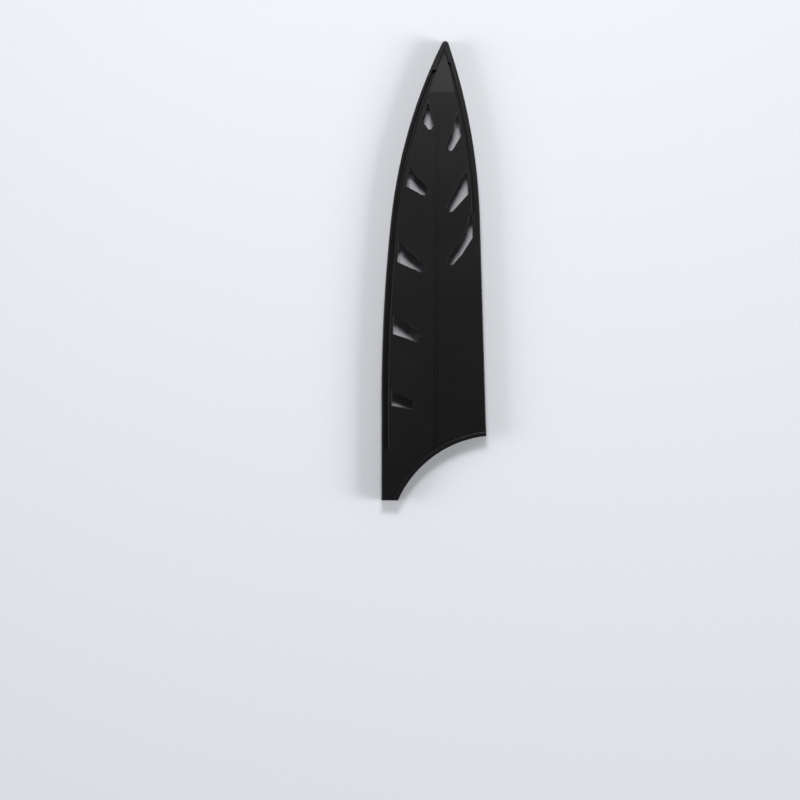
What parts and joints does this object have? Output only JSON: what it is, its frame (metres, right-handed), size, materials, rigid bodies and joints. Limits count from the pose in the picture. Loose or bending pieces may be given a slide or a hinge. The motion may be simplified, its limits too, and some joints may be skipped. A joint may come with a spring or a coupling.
{
  "type": "knife blade guard",
  "caption": "Slide-in blade guard for a large kitchen knife: black moulded panels with fin-shaped windows, a concave lipped mouth and leaf springs inside that grip the blade.",
  "frame": {"origin": "middle of the guard's box, on the surface that it lies on (the lip of the back panel)", "axes": "+Y along the guard towards its tip, -X towards the cutting-edge side, +X towards the spine side, +Z out of the front panel"},
  "size_m": [0.0492, 0.2154, 0.009],
  "materials": {
    "sheath_plastic": "black polypropylene, fine matte moulded texture",
    "pin_plastic": "black moulded polypropylene",
    "spring_steel": "rolled stainless spring strip",
    "grip_rubber": "dark grey silicone",
    "liner_rubber": "black soft elastomer"
  },
  "bodies": {
    "guard": {"front_panel": "sheath_plastic", "back_panel": "sheath_plastic", "rim_frame": "sheath_plastic", "locating_pins": "pin_plastic", "tip_stop": "liner_rubber", "edge_liner": "liner_rubber", "front_spring_foot": "spring_steel", "back_spring_foot": "spring_steel"},
    "front_arm": {"front_spring_arm": "spring_steel", "front_grip_pad": "grip_rubber"},
    "back_arm": {"back_spring_arm": "spring_steel", "back_grip_pad": "grip_rubber"}
  },
  "joints": [
    {"name": "front_arm_flex", "type": "hinge", "parent": "guard", "child": "front_arm", "pos_m": [0.001, -0.07169, 0.00665], "axis": [1, 0, 0], "range_deg": [0, 1.8], "stiffness_Nm_per_rad": 1.2},
    {"name": "back_arm_flex", "type": "hinge", "parent": "guard", "child": "back_arm", "pos_m": [0.001, -0.07169, 0.00235], "axis": [-1, 0, 0], "range_deg": [0, 1.8], "stiffness_Nm_per_rad": 1.2}
  ]
}
